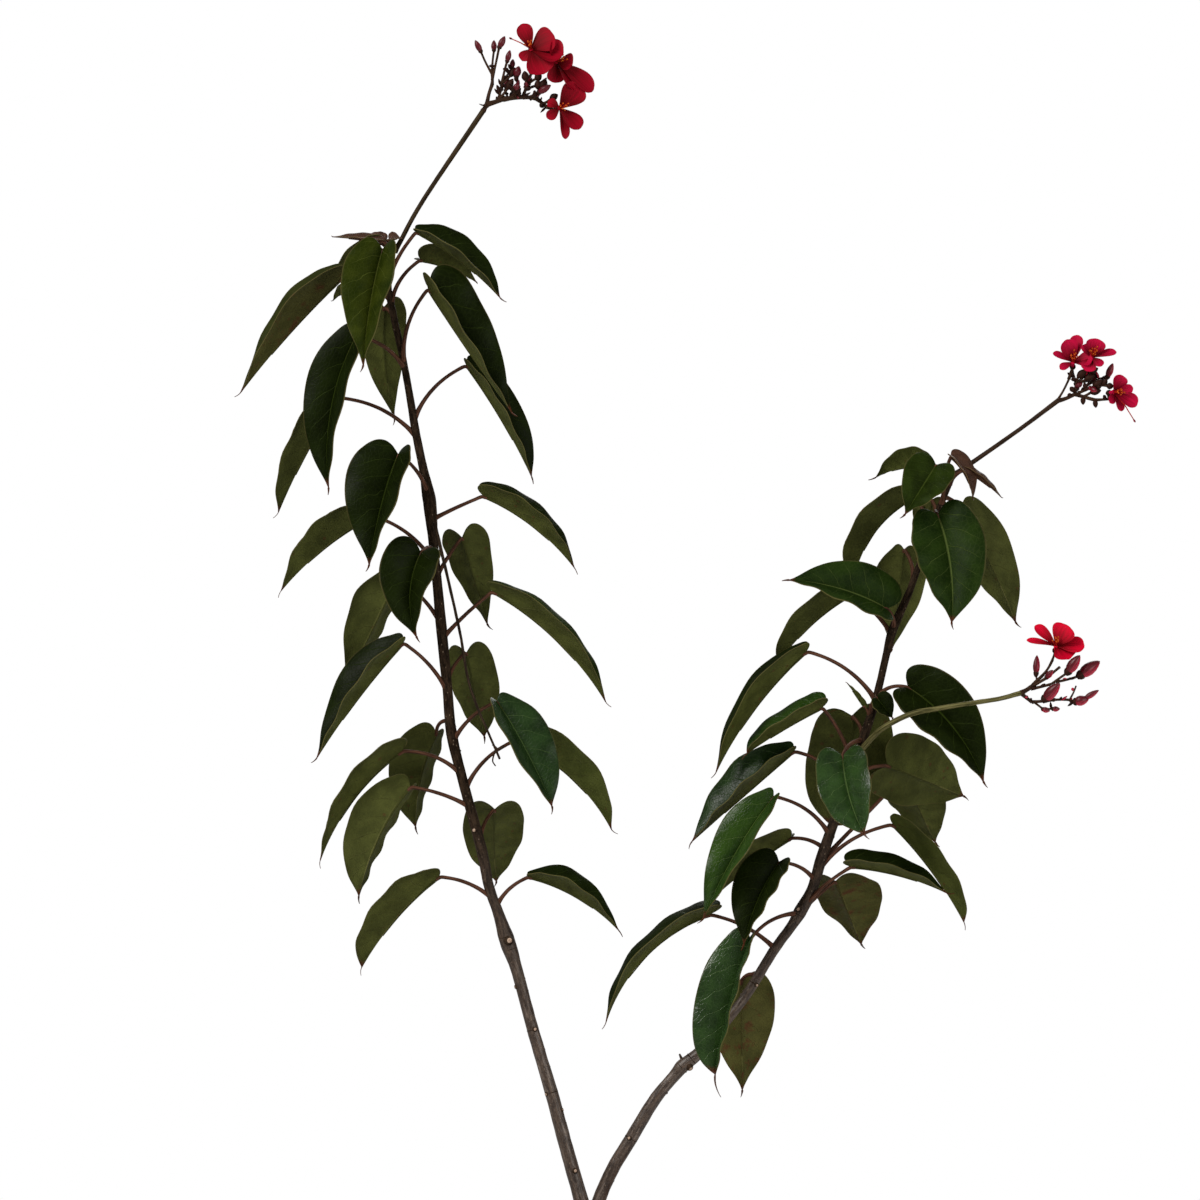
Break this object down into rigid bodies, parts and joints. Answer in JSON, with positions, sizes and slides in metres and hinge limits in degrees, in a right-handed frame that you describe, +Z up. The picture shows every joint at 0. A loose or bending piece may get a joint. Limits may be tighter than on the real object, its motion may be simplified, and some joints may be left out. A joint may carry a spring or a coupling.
{
  "type": "potted peregrina",
  "caption": "Flowering peregrina shrub with forked woody stems, folded heart-shaped leaves and red flower clusters, in a plain round clay pot.",
  "frame": {"origin": "centre of the pot's underside", "axes": "+Z up along the pot's axis, +Y away from the viewer, +X to the viewer's right"},
  "size_m": [0.628, 0.26, 1.0748],
  "materials": {
    "clay": "matte",
    "soil": "matte",
    "bark": "satin",
    "leaf": "satin",
    "cyme": "satin",
    "petal": "satin"
  },
  "bodies": {
    "root": {"pot": "clay", "soil": "soil", "stems": "bark", "leaf_left_01": "leaf", "leaf_left_02": "leaf", "leaf_left_03": "leaf", "leaf_left_04": "leaf", "leaf_left_05": "leaf", "leaf_left_06": "leaf", "leaf_left_07": "leaf", "leaf_left_08": "leaf", "leaf_left_09": "leaf", "leaf_left_10": "leaf", "leaf_left_11": "leaf", "leaf_left_12": "leaf", "leaf_left_13": "leaf", "leaf_left_14": "leaf", "leaf_left_15": "leaf", "leaf_left_16": "leaf", "leaf_left_17": "leaf", "leaf_left_18": "leaf", "leaf_left_19": "leaf", "leaf_left_20": "leaf", "leaf_left_21": "leaf", "leaf_left_22": "leaf", "leaf_left_23": "leaf", "leaf_left_24": "leaf", "leaf_left_25": "leaf", "leaf_right_01": "leaf", "leaf_right_02": "leaf", "leaf_right_03": "leaf", "leaf_right_04": "leaf", "leaf_right_05": "leaf", "leaf_right_06": "leaf", "leaf_right_07": "leaf", "leaf_right_08": "leaf", "leaf_right_09": "leaf", "leaf_right_10": "leaf", "leaf_right_11": "leaf", "leaf_right_12": "leaf", "leaf_right_13": "leaf", "leaf_right_14": "leaf", "leaf_right_15": "leaf", "leaf_right_16": "leaf", "leaf_right_17": "leaf", "leaf_right_18": "leaf", "leaf_right_19": "leaf", "leaf_right_20": "leaf", "leaf_right_21": "leaf", "leaf_right_22": "leaf", "leaf_right_23": "leaf", "leaf_right_24": "leaf", "leaf_right_25": "leaf", "bloom_left_stalks": "cyme", "bloom_right_stalks": "cyme", "bloom_side_stalks": "cyme", "bloom_left_petals_1": "petal", "bloom_right_petals_1": "petal", "bloom_right_petals_2": "petal", "bloom_side_petals_1": "petal"}
  },
  "joints": []
}
